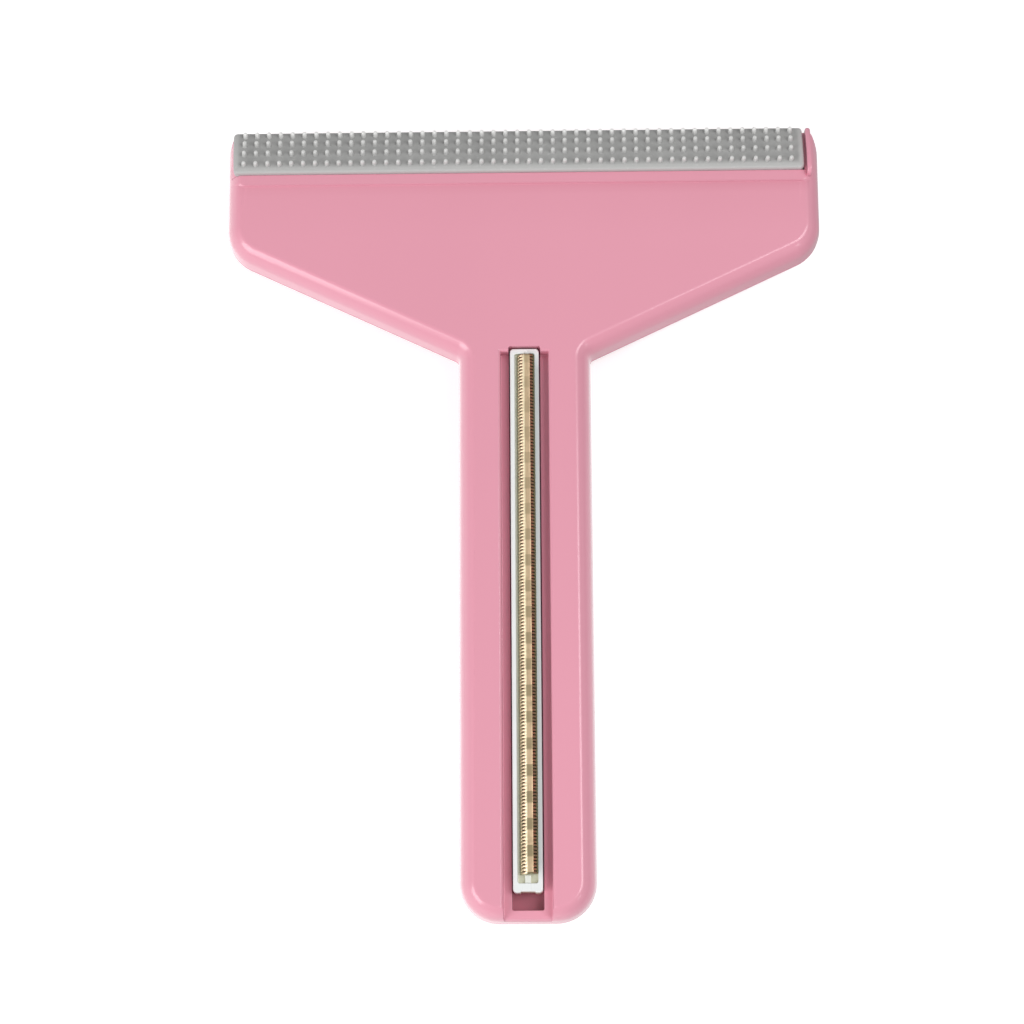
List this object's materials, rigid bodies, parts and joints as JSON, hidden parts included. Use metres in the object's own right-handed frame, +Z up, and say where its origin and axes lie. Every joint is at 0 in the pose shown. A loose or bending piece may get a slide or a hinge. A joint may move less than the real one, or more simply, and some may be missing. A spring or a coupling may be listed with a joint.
{
  "type": "carpet lint shaver",
  "caption": "T-shaped hand tool that scrapes lint and hair off carpet with a studded silicone strip; a spare cartridge with a brass comb is stored in its handle.",
  "frame": {"origin": "middle of the tool's length and width, on the surface its back lies on", "axes": "+X along the head towards its closed end, +Y from the handle to the head, +Z up, out of the front face"},
  "size_m": [0.14, 0.186, 0.0175],
  "materials": {
    "pink_plastic": "satin, smooth moulded plastic",
    "grey_silicone": "matte silicone rubber",
    "white_plastic": "smooth white moulded plastic",
    "brass_sheet": "bright etched sheet brass"
  },
  "bodies": {
    "body": {"front_shell": "pink_plastic", "back_cover": "pink_plastic"},
    "strip_cartridge": {"silicone_strip": "grey_silicone", "strip_rail": "white_plastic"},
    "spare_comb": {"comb_carrier": "white_plastic", "brass_comb": "brass_sheet"}
  },
  "joints": [
    {"name": "strip_slide", "type": "slide", "parent": "body", "child": "strip_cartridge", "axis": [-1, 0, 0], "range_m": [0, 0.136]},
    {"name": "comb_lift", "type": "slide", "parent": "body", "child": "spare_comb", "axis": [0, 0, 1], "range_m": [0, 0.012]}
  ]
}
